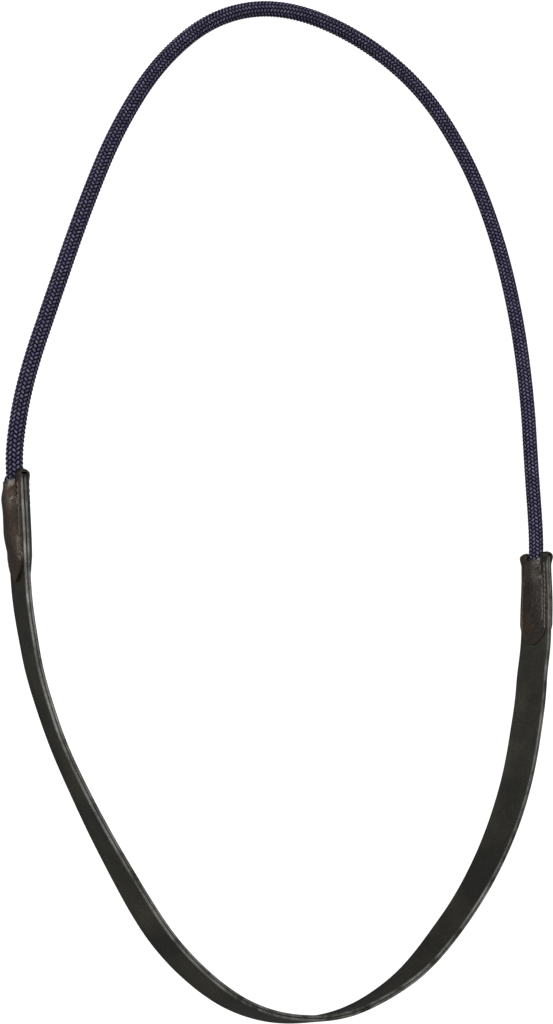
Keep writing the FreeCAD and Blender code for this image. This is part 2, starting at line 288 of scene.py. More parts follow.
def keep_vectors(mesh, name, vectors):
    """Store one vector for each point of a mesh as a named attribute."""
    attribute = mesh.attributes.new(name, "FLOAT_VECTOR", "POINT")
    attribute.data.foreach_set("vector", [number for vector in vectors for number in vector])


def line_object(name, points):
    """A thread of points joined in order, as Geometry Nodes take it."""
    mesh = bpy.data.meshes.new(name)
    mesh.from_pydata(points, [(k, k + 1) for k in range(len(points) - 1)], [])
    line = bpy.data.objects.new(name, mesh)
    bpy.context.scene.collection.objects.link(line)
    return line


# ---------------------------------------------------------------- shader groups


class Group:
    """A node tree being built: short ways to add nodes, join sockets and declare inputs and outputs."""

    def __init__(self, name, kind):
        self.tree = bpy.data.node_groups.new(name, kind)
        self.source = self.tree.nodes.new("NodeGroupInput")
        self.result = self.tree.nodes.new("NodeGroupOutput")

    def takes(self, name, kind, value=None):
        socket = self.tree.interface.new_socket(name, in_out="INPUT", socket_type=kind)
        if value is not None:
            socket.default_value = value
        return self.source.outputs[name]

    def gives(self, name, kind, source):
        self.tree.interface.new_socket(name, in_out="OUTPUT", socket_type=kind)
        self.tree.links.new(source, self.result.inputs[name])

    def add(self, kind, settings=None, **links):
        return add_node(self.tree, kind, settings, **links)


def add_node(tree, kind, settings=None, **links):
    """Add a node, set its properties and fill its inputs.

    An input is named by its label, with _ for a space, or by its place: in0, in1 and so on.
    """
    node = tree.nodes.new(kind)
    for prop, value in (settings or {}).items():
        setattr(node, prop, value)
    for label, value in links.items():
        if label[:2] == "in" and label[2:].isdigit():
            socket = node.inputs[int(label[2:])]
        else:
            socket = node.inputs[label.replace("_", " ")]
        if isinstance(value, bpy.types.NodeSocket):
            tree.links.new(value, socket)
        else:
            socket.default_value = value
    return node


def math_node(tree, operation, *values):
    links = {f"in{place}": value for place, value in enumerate(values)}
    return add_node(tree, "ShaderNodeMath", {"operation": operation}, **links).outputs[0]


def remap(tree, value, low, high, to_low=0.0, to_high=1.0):
    node = add_node(tree, "ShaderNodeMapRange", Value=value, From_Min=low, From_Max=high, To_Min=to_low,
                    To_Max=to_high)
    return node.outputs[0]


def mix_colour(tree, factor, first, second):
    node = add_node(tree, "ShaderNodeMix", {"data_type": "RGBA"}, in0=factor, in6=first, in7=second)
    return node.outputs[2]


def leather_grain_group():
    """Pebbled grain with pores and broad creases: a height, and a mask of the hollows."""
    group = Group("leather_grain", "ShaderNodeTree")
    where = group.takes("Vector", "NodeSocketVector")
    scale = group.takes("Pebbles Per Metre", "NodeSocketFloat", 900.0)
    crease = group.takes("Crease Strength", "NodeSocketFloat", 0.5)
    tree = group.tree
    warp = group.add("ShaderNodeTexNoise", Vector=where, Scale=math_node(tree, "MULTIPLY", scale, 0.6))
    bent = group.add("ShaderNodeVectorMath", {"operation": "MULTIPLY_ADD"}, in0=warp.outputs["Color"],
                     in1=(0.0009, 0.0009, 0.0009), in2=where)
    pebbles = group.add("ShaderNodeTexVoronoi", {"feature": "DISTANCE_TO_EDGE"}, Vector=bent.outputs[0],
                        Scale=scale)
    raised = math_node(tree, "POWER", remap(tree, pebbles.outputs["Distance"], 0.0, 0.45), 0.6)
    coarser = math_node(tree, "MULTIPLY", scale, 0.35)
    dimples = group.add("ShaderNodeTexNoise", Vector=where, Scale=coarser, Detail=2.0)
    finer = math_node(tree, "MULTIPLY", scale, 2.6)
    pores = group.add("ShaderNodeTexNoise", Vector=where, Scale=finer, Detail=3.0)
    creases = group.add("ShaderNodeTexNoise", {"noise_type": "RIDGED_MULTIFRACTAL"}, Vector=where, Scale=75.0)
    folds = remap(tree, creases.outputs["Fac"], 0.55, 1.3, 0.0, -1.0)
    height = math_node(tree, "MULTIPLY_ADD", pores.outputs["Fac"], 0.5, raised)
    height = math_node(tree, "MULTIPLY_ADD", dimples.outputs["Fac"], 2.4, height)
    height = math_node(tree, "MULTIPLY_ADD", math_node(tree, "MULTIPLY", folds, crease), 1.6, height)
    group.gives("Height", "NodeSocketFloat", height)
    group.gives("Hollows", "NodeSocketFloat", math_node(tree, "SUBTRACT", 1.0, raised))
    return group.tree


def wear_and_edge_highlight_group():
    """Rubbed patches: a mask that follows the piece's edges, for a paler colour that is rubbed wear and, on
    the strap, a painted highlight, and one that wanders over its faces.
    """
    group = Group("wear_and_edge_highlight", "ShaderNodeTree")
    where = group.takes("Vector", "NodeSocketVector")
    edge = group.takes("Edge", "NodeSocketFloat", 0.0)
    amount = group.takes("Amount", "NodeSocketFloat", 0.5)
    spacing = group.takes("Patches Per Metre", "NodeSocketFloat", 16.0)
    tree = group.tree
    patches = group.add("ShaderNodeTexNoise", Vector=where, Scale=60.0, Detail=6.0, Roughness=0.65)
    rubbed_and_highlit = remap(tree, patches.outputs["Fac"], 0.38, 0.68)
    # the edge mask, broken into rubbed patches, places the paler edge colour: a painted highlight on the
    # strap's edges, rubbed wear on the tab's
    edge_highlight_and_wear_mask = math_node(tree, "MULTIPLY", math_node(tree, "MULTIPLY", edge, rubbed_and_highlit), amount)
    broad = group.add("ShaderNodeTexNoise", Vector=where, Scale=spacing, Detail=5.0, Roughness=0.6)
    group.gives("Edge Wear And Highlight", "NodeSocketFloat", edge_highlight_and_wear_mask)
    group.gives("Patches", "NodeSocketFloat", remap(tree, broad.outputs["Fac"], 0.42, 0.66))
    return group.tree


def fibre_group():
    """Fine yarns twisted along a strand: a height from the strand's own width coordinate."""
    group = Group("twisted_fibres", "ShaderNodeTree")
    where = group.takes("Strand", "NodeSocketVector")
    count = group.takes("Yarns", "NodeSocketFloat", 5.0)
    tree = group.tree
    parts = group.add("ShaderNodeSeparateXYZ", Vector=where)
    slanted = math_node(tree, "MULTIPLY_ADD", parts.outputs[0], 0.35, parts.outputs[1])
    turns = math_node(tree, "MULTIPLY", slanted, math_node(tree, "MULTIPLY", count, math.pi))
    ridges = math_node(tree, "ABSOLUTE", math_node(tree, "SINE", turns))
    fuzz = group.add("ShaderNodeTexNoise", Vector=where, Scale=9.0, Detail=4.0)
    height = math_node(tree, "MULTIPLY_ADD", fuzz.outputs["Fac"], 0.35, ridges)
    group.gives("Height", "NodeSocketFloat", height)
    group.gives("Gaps", "NodeSocketFloat", math_node(tree, "SUBTRACT", 1.0, ridges))
    return group.tree


LEATHER_GRAIN = leather_grain_group()
WEAR_AND_EDGE_HIGHLIGHT = wear_and_edge_highlight_group()
FIBRES = fibre_group()


# ---------------------------------------------------------------- materials


def new_material(name):
    material = bpy.data.materials.new(name)
    material.use_nodes = True
    return material, material.node_tree, material.node_tree.nodes["Principled BSDF"]


def use_group(tree, group, **links):
    return add_node(tree, "ShaderNodeGroup", {"node_tree": group}, **links)


def bump(tree, shader, height, distance, strength=1.0):
    node = add_node(tree, "ShaderNodeBump", Height=height, Distance=distance, Strength=strength)
    tree.links.new(node.outputs["Normal"], shader.inputs["Normal"])


def leather(name, face, patch, patches, edge_wear_and_highlight_colour, grain, hollow, roughness, gloss, crease, depth):
    """Dyed leather: grain, rubbed patches of a second tone, and burnished edges in a paler colour that is
    rubbed wear and, on the strap, a painted highlight.
    """
    material, tree, shader = new_material(name)
    where = add_node(tree, "ShaderNodeTexCoord").outputs["Object"]
    edge = add_node(tree, "ShaderNodeAttribute", {"attribute_name": "edge"}).outputs["Fac"]
    surface = use_group(tree, LEATHER_GRAIN, Vector=where, Pebbles_Per_Metre=grain, Crease_Strength=crease)
    wear_and_highlight = use_group(tree, WEAR_AND_EDGE_HIGHLIGHT, Vector=where, Edge=edge, Amount=0.7, Patches_Per_Metre=patches)
    toned = mix_colour(tree, wear_and_highlight.outputs["Patches"], face, patch)
    hollows = math_node(tree, "MULTIPLY", surface.outputs["Hollows"], hollow)
    deep = mix_colour(tree, hollows, toned, (0, 0, 0, 1))
    # the paler edge colour goes on along the edges: on the strap it is a painted highlight, on the tab rubbed
    # wear
    rubbed_and_highlit = mix_colour(tree, wear_and_highlight.outputs["Edge Wear And Highlight"], deep, edge_wear_and_highlight_colour)
    tree.links.new(rubbed_and_highlit, shader.inputs["Base Color"])
    dull = math_node(tree, "MULTIPLY_ADD", surface.outputs["Hollows"], 0.15, roughness)
    polished = math_node(tree, "ADD", dull, math_node(tree, "MULTIPLY", edge, -0.24))
    patchy = math_node(tree, "MULTIPLY_ADD", wear_and_highlight.outputs["Patches"], 0.07, polished)
    tree.links.new(patchy, shader.inputs["Roughness"])
    shader.inputs["Specular IOR Level"].default_value = gloss
    flat_edge = math_node(tree, "MULTIPLY_ADD", edge, -0.8, 1.0)
    bump(tree, shader, math_node(tree, "MULTIPLY", surface.outputs["Height"], flat_edge), depth)
    return material


def braid_material():
    """Polypropylene strands: navy, paler on their crowns and black in the gaps between them, a painted shade
    where each float dips under its neighbours.
    """
    material, tree, shader = new_material("navy_braid")
    strand = add_node(tree, "ShaderNodeAttribute", {"attribute_name": "strand"}).outputs["Vector"]
    tone = add_node(tree, "ShaderNodeAttribute", {"attribute_name": "tone"}).outputs["Fac"]
    depth = add_node(tree, "ShaderNodeSeparateXYZ", Vector=strand).outputs[2]
    fibres = use_group(tree, FIBRES, Strand=strand, Yarns=4.0)
    crown = remap(tree, depth, 0.2, 1.0)
    navy = mix_colour(tree, tone, (0.098, 0.090, 0.178, 1), (0.215, 0.200, 0.320, 1))
    # painted shade: each float goes from navy on its crown to near-black at its edges and tips
    painted_shading = mix_colour(tree, math_node(tree, "POWER", crown, 1.3), (0.002, 0.002, 0.005, 1), navy)
    gaps = math_node(tree, "MULTIPLY", fibres.outputs["Gaps"], 0.4)
    lined = mix_colour(tree, gaps, painted_shading, (0.004, 0.004, 0.01, 1))
    tree.links.new(lined, shader.inputs["Base Color"])
    tree.links.new(remap(tree, fibres.outputs["Gaps"], 0, 1, 0.42, 0.7), shader.inputs["Roughness"])
    shader.inputs["Specular IOR Level"].default_value = 0.15
    bump(tree, shader, fibres.outputs["Height"], 0.00012)
    return material


def thread_material(name, colour, dark, scale):
    """Twisted waxed thread, or bound yarn, with its turns across the piece."""
    material, tree, shader = new_material(name)
    where = add_node(tree, "ShaderNodeTexCoord").outputs["Object"]
    turns = add_node(tree, "ShaderNodeTexWave", {"bands_direction": "DIAGONAL"}, Vector=where, Scale=scale,
                     Distortion=1.5)
    speckle = add_node(tree, "ShaderNodeTexNoise", Vector=where, Scale=2500.0, Detail=3.0)
    shade = math_node(tree, "MULTIPLY", turns.outputs["Fac"], speckle.outputs["Fac"])
    tree.links.new(mix_colour(tree, remap(tree, shade, 0.1, 0.6), dark, colour), shader.inputs["Base Color"])
    tree.links.new(remap(tree, turns.outputs["Fac"], 0, 1, 0.75, 0.5), shader.inputs["Roughness"])
    shader.inputs["Specular IOR Level"].default_value = 0.15
    bump(tree, shader, turns.outputs["Fac"], 0.00008)
    return material


def floor_material():
    """A white studio floor: it shows bright, but throws only a little light back on the object."""
    material, tree, shader = new_material("studio_floor")
    where = add_node(tree, "ShaderNodeTexCoord").outputs["Object"]
    haze = add_node(tree, "ShaderNodeTexNoise", Vector=where, Scale=2.0)
    grey = mix_colour(tree, haze.outputs["Fac"], (0.20, 0.20, 0.20, 1), (0.24, 0.24, 0.24, 1))
    tree.links.new(grey, shader.inputs["Base Color"])
    shader.inputs["Roughness"].default_value = 0.9
    shader.inputs["Specular IOR Level"].default_value = 0.1
    shader.inputs["Emission Color"].default_value = (1, 1, 1, 1)
    seen = add_node(tree, "ShaderNodeLightPath").outputs["Is Camera Ray"]
    tree.links.new(seen, shader.inputs["Emission Strength"])
    return material


# The strap's pale grey edge colour is a painted highlight along the crowns of the plies' rounded edges.
STRAP_LEATHER = leather(
    "black_strap_leather", face=(0.0195, 0.0188, 0.0150, 1), patch=(0.047, 0.0440, 0.0320, 1), patches=22.0,
    edge_wear_and_highlight_colour=(0.260, 0.258, 0.248, 1), grain=1400.0, hollow=0.5, roughness=0.46, gloss=0.22, crease=0.3,
    depth=0.00014,
)
TAB_LEATHER = leather(
    "dark_brown_tab_leather", face=(0.0115, 0.0088, 0.0052, 1), patch=(0.054, 0.026, 0.012, 1), patches=42.0,
    edge_wear_and_highlight_colour=(0.110, 0.102, 0.084, 1), grain=1500.0, hollow=0.55, roughness=0.33, gloss=0.36, crease=0.8,
    depth=0.00018,
)
NAVY_BRAID = braid_material()
# The core yarn is near-black: a painted shade for what shows through the gaps in the braid.
PAINTED_SHADE_CORE_YARN = thread_material("cord_core_yarn", (0.004, 0.004, 0.009, 1), (0.001, 0.001, 0.002, 1), 900.0)
STITCH_THREAD = thread_material("waxed_thread", (0.260, 0.230, 0.175, 1), (0.050, 0.044, 0.034, 1), 1400.0)
WHIPPING_TWINE = thread_material("whipping_twine", (0.030, 0.028, 0.025, 1), (0.006, 0.006, 0.006, 1), 1800.0)


# ---------------------------------------------------------------- cord


def end_axis_point(side, along):
    """A point on the axis of the cord where it goes into a strap end."""
    return Station(end_run(side, along)).point(CORD_OFFSET[side], 0)


def cord_line():
    """Points along the cord's smooth line, from inside the left strap end to inside the right one."""
    control = [end_axis_point("left", along) for along in (ROUND_CORD, 0, CORD_REACH)]
    control += [Vector(point) for point in CORD_ROUTE]
    control += [end_axis_point("right", along) for along in (CORD_REACH, 0, ROUND_CORD)]
    curve = bpy.data.curves.new("cord_line", "CURVE")
    curve.dimensions = "3D"
    spline = curve.splines.new("NURBS")
    spline.points.add(len(control) - 1)
    for place, point in zip(spline.points, control):
        place.co = (*point, 1)
    spline.order_u = 3
    spline.use_endpoint_u = True
    spline.resolution_u = 16
    holder = bpy.data.objects.new("cord_line", curve)
    bpy.context.scene.collection.objects.link(holder)
    return [vertex.co.copy() for vertex in finished_mesh("cord_line", holder).vertices]


def run_length(points):
    return sum((b - a).length for a, b in zip(points, points[1:]))


FLOAT_RINGS = ((-0.00145, 0.00066, 0.00006), (-0.00055, 0.00094, 0.00044), (0.00055, 0.00094, 0.00044),
               (0.00145, 0.00066, 0.00006))  # place along, half width, height of the crown
FLOAT_TIP = (0.00205, -0.00070)
FLOAT_SECTION = ((-1, -0.35), (-0.62, 0.72), (0, 1), (0.62, 0.72), (1, -0.35), (0, -1))  # width, height
FLOAT_EDGE = -0.00046  # height of a float's long edges
FLOAT_MIDDLE = 0.0001  # a ring with its crown above this is in the float's middle, not at its ends


def braid_float():
    """One strand where it lies over the others: a small pillow whose tips dip under its neighbours."""
    points = [(-FLOAT_TIP[0], 0, FLOAT_TIP[1])]
    strand = [(-1, 0, -1)]
    for along, half_width, crown in FLOAT_RINGS:
        for width, height in FLOAT_SECTION:
            across = width * half_width
            level = FLOAT_EDGE * (1 - height) / 2
            if height > 0:
                level = FLOAT_EDGE + (crown - FLOAT_EDGE) * height
            # the third value of "strand" sets the float's painted shade: darker toward its edges, and darker
            # still at its ends
            shading_level = height if crown > FLOAT_MIDDLE else height * 0.4
            points.append((along, across, level))
            strand.append((along / FLOAT_TIP[0], across / FLOAT_RINGS[1][1], shading_level))
    points.append((FLOAT_TIP[0], 0, FLOAT_TIP[1]))
    strand.append((1, 0, -1))
    size = len(FLOAT_SECTION)
    last = len(points) - 1
    wall = ring_faces(len(FLOAT_RINGS), size, closed_ends=False)
    faces = [tuple(1 + index for index in face) for face in wall]
    faces += [(0, 1 + (k + 1) % size, 1 + k) for k in range(size)]
    faces += [(last, last - size + k, last - size + (k + 1) % size) for k in range(size)]
    mesh = mesh_of("braid_float", points, faces)
    keep_vectors(mesh, "strand", strand)
    mesh.polygons.foreach_set("use_smooth", [True] * len(mesh.polygons))
    piece = bpy.data.objects.new("braid_float", mesh)
    bpy.context.scene.collection.objects.link(piece)
    return piece


def laid_on(tree, normal, ahead, slant):
    """A rotation that stands a piece up on a surface, along a direction, and then slants it."""
    facing = add_node(tree, "FunctionNodeAxesToRotation", {"primary_axis": "Z", "secondary_axis": "X"},
                      in0=normal, in1=ahead)
    lay = add_node(tree, "FunctionNodeAxisAngleToRotation", Axis=(0, 0, 1), Angle=slant)
    turned = add_node(tree, "FunctionNodeRotateRotation", {"rotation_space": "LOCAL"}, in0=facing.outputs[0],
                      in1=lay.outputs[0])
    return turned.outputs[0]


def random_number(tree, low, high, seed):
    """A number for each instance, between low and high."""
    node = add_node(tree, "FunctionNodeRandomValue", {"data_type": "FLOAT"}, in2=low, in3=high, Seed=seed)
    return node.outputs[1]


def finish_tree(group, instances, material):
    """Make the instances real and give them their material."""
    solid = group.add("GeometryNodeRealizeInstances", Geometry=instances)
    coated = group.add("GeometryNodeSetMaterial", Geometry=solid.outputs[0], Material=material)
    group.gives("Geometry", "NodeSocketGeometry", coated.outputs[0])
    return group.tree


def braid_tree():
    """Floats of a braided sheath round a line, in columns that slant one way and the other in turn."""
    group = Group("braided_sheath", "GeometryNodeTree")
    tree = group.tree
    line = group.takes("Line", "NodeSocketGeometry")
    float_piece = group.takes("Float", "NodeSocketObject")
    columns = group.takes("Columns", "NodeSocketInt", 12)
    rows = group.takes("Rows", "NodeSocketInt", 10)
    pitch = group.takes("Pitch", "NodeSocketFloat", 0.0026)
    radius = group.takes("Radius", "NodeSocketFloat", 0.0046)
    slant = group.takes("Slant", "NodeSocketFloat", 0.8)
    material = group.takes("Material", "NodeSocketMaterial")

    path = add_node(tree, "GeometryNodeMeshToCurve", Mesh=line)
    level = add_node(tree, "GeometryNodeSetCurveNormal", {"mode": "Z_UP"}, Curve=path.outputs[0])
    places = add_node(tree, "GeometryNodePoints", Count=math_node(tree, "MULTIPLY", columns, rows))
    index = add_node(tree, "GeometryNodeInputIndex").outputs[0]
    row = math_node(tree, "FLOOR", math_node(tree, "DIVIDE", index, columns))
    column = math_node(tree, "FLOORED_MODULO", index, columns)
    odd = math_node(tree, "FLOORED_MODULO", column, 2.0)
    staggered = math_node(tree, "MULTIPLY_ADD", odd, 0.5, math_node(tree, "ADD", row, 0.25))
    along = math_node(tree, "MULTIPLY", staggered, pitch)
    spot = add_node(tree, "GeometryNodeSampleCurve", {"mode": "LENGTH"}, Curves=level.outputs[0],
                    Length=along)
    angle = math_node(tree, "DIVIDE", math_node(tree, "MULTIPLY", column, 2 * math.pi), columns)
    turned = add_node(tree, "ShaderNodeVectorRotate", Vector=spot.outputs["Normal"],
                      Axis=spot.outputs["Tangent"], Angle=angle)
    outward = add_node(tree, "ShaderNodeVectorMath", {"operation": "SCALE"}, Vector=turned.outputs[0],
                       Scale=radius)
    place = add_node(tree, "ShaderNodeVectorMath", {"operation": "ADD"}, in0=spot.outputs["Position"],
                     in1=outward.outputs[0])
    set_out = add_node(tree, "GeometryNodeSetPosition", Geometry=places.outputs[0], Position=place.outputs[0])

    way = math_node(tree, "MULTIPLY_ADD", odd, -2.0, 1.0)
    uneven = random_number(tree, 0.93, 1.07, 5)
    lie = math_node(tree, "MULTIPLY", math_node(tree, "MULTIPLY", slant, way), uneven)
    lay = laid_on(tree, turned.outputs[0], spot.outputs["Tangent"], lie)
    shape = add_node(tree, "GeometryNodeObjectInfo", {"transform_space": "ORIGINAL"}, Object=float_piece)
    floats = add_node(tree, "GeometryNodeInstanceOnPoints", Points=set_out.outputs[0],
                      Instance=shape.outputs["Geometry"], Rotation=lay)
    shade = random_number(tree, 0.0, 1.0, 11)
    toned = add_node(tree, "GeometryNodeStoreNamedAttribute", {"data_type": "FLOAT", "domain": "INSTANCE"},
                     Geometry=floats.outputs[0], Name="tone", Value=shade)
    return finish_tree(group, toned.outputs[0], material)


def run_tree(name, source, tree, **values):
    """Run a Geometry Nodes tree on an object and return the result as a plain mesh."""
    modifier = source.modifiers.new(tree.name, "NODES")
    modifier.node_group = tree
    sockets = {item.name: item.identifier for item in tree.interface.items_tree if item.in_out == "INPUT"}
    for label, value in values.items():
        modifier[sockets[label.replace("_", " ")]] = value
    return finished_mesh(name, source)


def tube_mesh(name, points, radius, sides=16):
    """A closed round tube along points; radius is one number, or one for each point."""
    radii = radius if isinstance(radius, list) else [radius] * len(points)
    rings = []
    for k, point in enumerate(points):
        before = points[max(k - 1, 0)]
        after = points[min(k + 1, len(points) - 1)]
        tangent = (after - before).normalized()
        sideways = tangent.cross(Vector((0, 0, 1))).normalized()
        upward = sideways.cross(tangent)
        for side in range(sides):
            angle = 2 * math.pi * side / sides
            rings.append(point + (sideways * math.cos(angle) + upward * math.sin(angle)) * radii[k])
    return mesh_of(name, rings, ring_faces(len(points), sides))


BRAID_COLUMNS = 12
BRAID_PITCH = 0.00265
BRAID_MID_RADIUS = 0.00458
SQUEEZE_PLAY = 0.97  # share of its space that the squeezed cord fills
TAIL_STEPS = 24
BOUND_STEPS = 3  # steps at the cord's cut end that only the whipping covers
WHIPPING_TURNS = 11
RINGS_PER_TURN = 8
BRAID_TREE = braid_tree()
FLOAT_PIECE = braid_float()


def braid_mesh(name, points):
    rows = int(run_length(points) / BRAID_PITCH - 0.5)
    return run_tree(
        name, line_object(name, points), BRAID_TREE, Float=FLOAT_PIECE, Columns=BRAID_COLUMNS, Rows=rows,
        Pitch=BRAID_PITCH, Radius=BRAID_MID_RADIUS, Slant=math.radians(44), Material=NAVY_BRAID,
    )


def bend_with_cord(piece):
    """Bake the piece's placing into its points."""
    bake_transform(piece)


def squeeze(mesh, side):
    """Flatten a round piece on the axis of the cord's end, as the two plies press it."""
    mouth = Station(end_run(side, 0))
    out_of_strap = mouth.ahead * SIDES[side]
    for vertex in mesh.vertices:
        offset = vertex.co - mouth.middle
        along = offset.dot(out_of_strap)
        across = offset.dot(mouth.outward) - CORD_OFFSET[side]
        half_thickness, half_width, shift = cord_end_form(side, along)
        flat = across * half_thickness / CORD_RADIUS * SQUEEZE_PLAY + shift
        wide = offset.dot(mouth.up) * half_width / CORD_RADIUS * SQUEEZE_PLAY
        vertex.co = mouth.middle + out_of_strap * along + mouth.outward * flat + mouth.up * wide
    return mesh


def make_cord_tail(side):
    """The cord's end inside the strap end: braid, core yarns and the whipping that binds them."""
    inner, outer = -CORD_GRIP, ROUND_CORD - 0.0005
    spots = [inner + (outer - inner) * step / TAIL_STEPS for step in range(TAIL_STEPS + 1)]
    line = [end_axis_point(side, along) for along in spots]
    braid = squeeze(braid_mesh(f"{side}_cord_tail", line[BOUND_STEPS:]), side)
    new_piece(f"{side}_cord_tail", braid, "strap", (f"{side}_cord_end_sheath",), NAVY_BRAID)
    core = squeeze(tube_mesh(f"{side}_tail_core", line, CORE_RADIUS), side)
    new_piece(f"{side}_tail_core", core, "strap", (f"{side}_cord_end_core",), PAINTED_SHADE_CORE_YARN)
    bound = []
    radii = []
    rings = RINGS_PER_TURN * WHIPPING_TURNS
    for ring in range(rings + 1):
        bound.append(end_axis_point(side, inner + WHIPPING_LENGTH * ring / rings))
        ridge = abs(math.sin(math.pi * WHIPPING_TURNS * ring / rings))
        radii.append(CORD_RADIUS - 0.0004 + 0.0003 * ridge)
    whipping = squeeze(tube_mesh(f"{side}_tail_whipping", bound, radii), side)
    new_piece(f"{side}_tail_whipping", whipping, "strap", (f"{side}_cord_whipping",),
              WHIPPING_TWINE)


def make_cord():
    points = cord_line()
    # the near-black core under the braid is painted shade seen through the braid's gaps
    core = new_piece("cord_core_yarns", tube_mesh("cord_core_yarns", points, CORE_RADIUS),
                     replaced=("cord_core",), material=PAINTED_SHADE_CORE_YARN)
    bend_with_cord(core)
    braid = new_piece("braided_cord", braid_mesh("braided_cord", points),
                      replaced=("cord_sheath",), material=NAVY_BRAID)
    bend_with_cord(braid)
    end_axis_point("left", 0)
    for side in SIDES:
        make_cord_tail(side)


make_cord()
bpy.data.objects.remove(FLOAT_PIECE)


# ---------------------------------------------------------------- strap plies

PLY_COLUMNS = 18
OVER_CORD = 0.0065  # the leather is pared down as far as this from mid-height
EAR_DEPTH = 0.0026  # how far the plies reach into the ears of the tab
MOULDED_LENGTH = 0.062


def arc_points(thick, up, radius, start, stop, steps):
    """Points of a rounded edge: from angle start to stop, in degrees, about a centre."""
    angles = [math.radians(start + (stop - start) * k / steps) for k in range(steps + 1)]
    return [(thick + radius * math.cos(angle), up + radius * math.sin(angle)) for angle in angles]


def ply_section():
    """Outline of a ply's section as (thickness from the seam, up, edge), going round once."""
    half = STRAP_WIDTH / 2
    reach = half - OUTER_ROUND
    seam_reach = half - SEAM_ROUND
    face = [(PLY, -reach + 2 * reach * k / PLY_COLUMNS, 0.0) for k in range(1, PLY_COLUMNS)]
    top = arc_points(PLY - OUTER_ROUND, reach, OUTER_ROUND, 0, 90, 5)
    top += arc_points(SEAM_ROUND, seam_reach, SEAM_ROUND, 90, 180, 4)
    back = [(0, seam_reach - 2 * seam_reach * k / PLY_COLUMNS, 0.0) for k in range(1, PLY_COLUMNS)]
    bottom = arc_points(SEAM_ROUND, -seam_reach, SEAM_ROUND, 180, 270, 4)
    bottom += arc_points(PLY - OUTER_ROUND, -reach, OUTER_ROUND, 270, 360, 5)
    # these edge values peak at the crown of each rounded edge, where the paler edge colour lays a painted
    # highlight
    wear_and_highlight = (0.0, 0.1, 0.35, 0.8, 1.0, 1.0, 1.0, 0.6, 0.1, 0.0, 0.0)
    top = [(thick, up, painted_shading) for (thick, up), painted_shading in zip(top, wear_and_highlight)]
    bottom = [(thick, up, painted_shading) for (thick, up), painted_shading in zip(bottom, reversed(wear_and_highlight))]
    return face + top + back + bottom


def ply_runs():
    """Places along the strap for the rings of a ply: close together at the ends, where it is moulded."""
    runs = []
    run = end_run("left", 0)
    while run < end_run("right", -0.0001):
        runs.append(run)
        run += 0.0015 if along_at(run) > -MOULDED_LENGTH else 0.003
    return runs + [end_run("right", 0)]


def ply_mesh(name, facing):
    section = ply_section()
    runs = ply_runs()
    points = []
    edges = []
    for run in runs:
        station = Station(run)
        along = along_at(run)
        side = "left" if run < 0 else "right"
        for thick, up, edge in section:
            over_cord = thinning(along) if abs(up) < OVER_CORD else 1
            height = leather_height(side, facing, along, up) - (PLY - thick) * over_cord
            lift = ripple(run, up) * (1 - smooth(-0.02, 0.0, along))
            across = facing * height + lift
            beside_hole = smooth(HOLE_HALF, HOLE_HALF + 0.0012, abs(up))
            into_ear = EAR_DEPTH * beside_hole * smooth(-0.003, 0.0, along)
            points.append(station.point(across, up * waist(along)) + station.ahead * (SIDES[side] * into_ear))
            edges.append(edge)
    return mesh_of(name, points, ring_faces(len(runs), len(section)), edges)


for ply_name, facing in (("outer", 1), ("inner", -1)):
    new_piece(f"{ply_name}_strap_ply", ply_mesh(f"{ply_name}_strap_ply", facing), "strap",
              (f"strap_{ply_name}_ply",), STRAP_LEATHER)


# ---------------------------------------------------------------- end tabs

ROW_HEIGHT = 0.00985
STITCH_STARTS = [-0.002 - 0.0034 * stitch for stitch in range(13)]
TONGUE_ROWS = 44
FOLD_STEPS = 14
TIP_LENGTH = 0.0145  # the tongue narrows over this length
TIP_FULLNESS = 1.6
TIP_BLUNTNESS = 0.59
LOWER_FLARE = 1.045  # how much wider than the tab its lower ear stands out
UPPER_FLARE = 1.075
TAB_GAP = 0.00004
STITCH_SEAT = 0.00022  # the stitches pull the tab down by this much
SEAT_HALF = 0.0007
TIP_LIFT = 0.0008  # the upper corner of the tongue's tip has come up by this much


def tip_along(up):
    """How far from the cut end the tongue's edge lies at this height: it narrows to a blunt point."""
    share = min(abs(up) / (TAB_WIDTH / 2), 1)
    return -TAB_LENGTH + TIP_LENGTH * (1 - (1 - share**TIP_FULLNESS) ** TIP_BLUNTNESS)


def lip_along(up):
    """The edge round the cord's hole, which dips in the middle."""
    return 0.0024 * min(abs(up) / HOLE_HALF, 1) ** 2 - 0.0008


def ear_reach(up):
    """How far past the cut end the fold's centre lies: each ear is rounded like a knuckle."""
    middle = (HOLE_HALF + TAB_WIDTH / 2) / 2
    return FOLD_REACH - 0.0013 * (abs(abs(up) - middle) / (TAB_WIDTH / 2 - middle)) ** 2.5


def tab_height(side, facing, along, up):
    """The tab's inner face above the middle plane: it lies on the ply and pinches in at the ears."""
    pinch = smooth(HOLE_HALF - 0.0014, HOLE_HALF + 0.0008, abs(up)) * smooth(-0.004, 0.0026, along)
    in_row = math.exp(-(((abs(up) - ROW_HEIGHT) / SEAT_HALF) ** 2))
    seat = STITCH_SEAT * in_row * smooth(-0.048, -0.044, along)
    lifted = TIP_LIFT * (1 - smooth(-0.056, -0.047, along)) * smooth(-0.002, 0.006, up)
    moulded = leather_height(side, facing, along, up) - PLY
    return PLY + TAB_GAP + moulded * (1 - pinch) - seat + lifted


def spread(along, up):
    """The height of a tab's point: the waist draws it in, and past the cut end the ears flare out again."""
    ears = smooth(-0.0035, 0.0025, along)
    flare = LOWER_FLARE if up < 0 else UPPER_FLARE
    return up * (waist(along) * (1 - ears) + flare * ears)


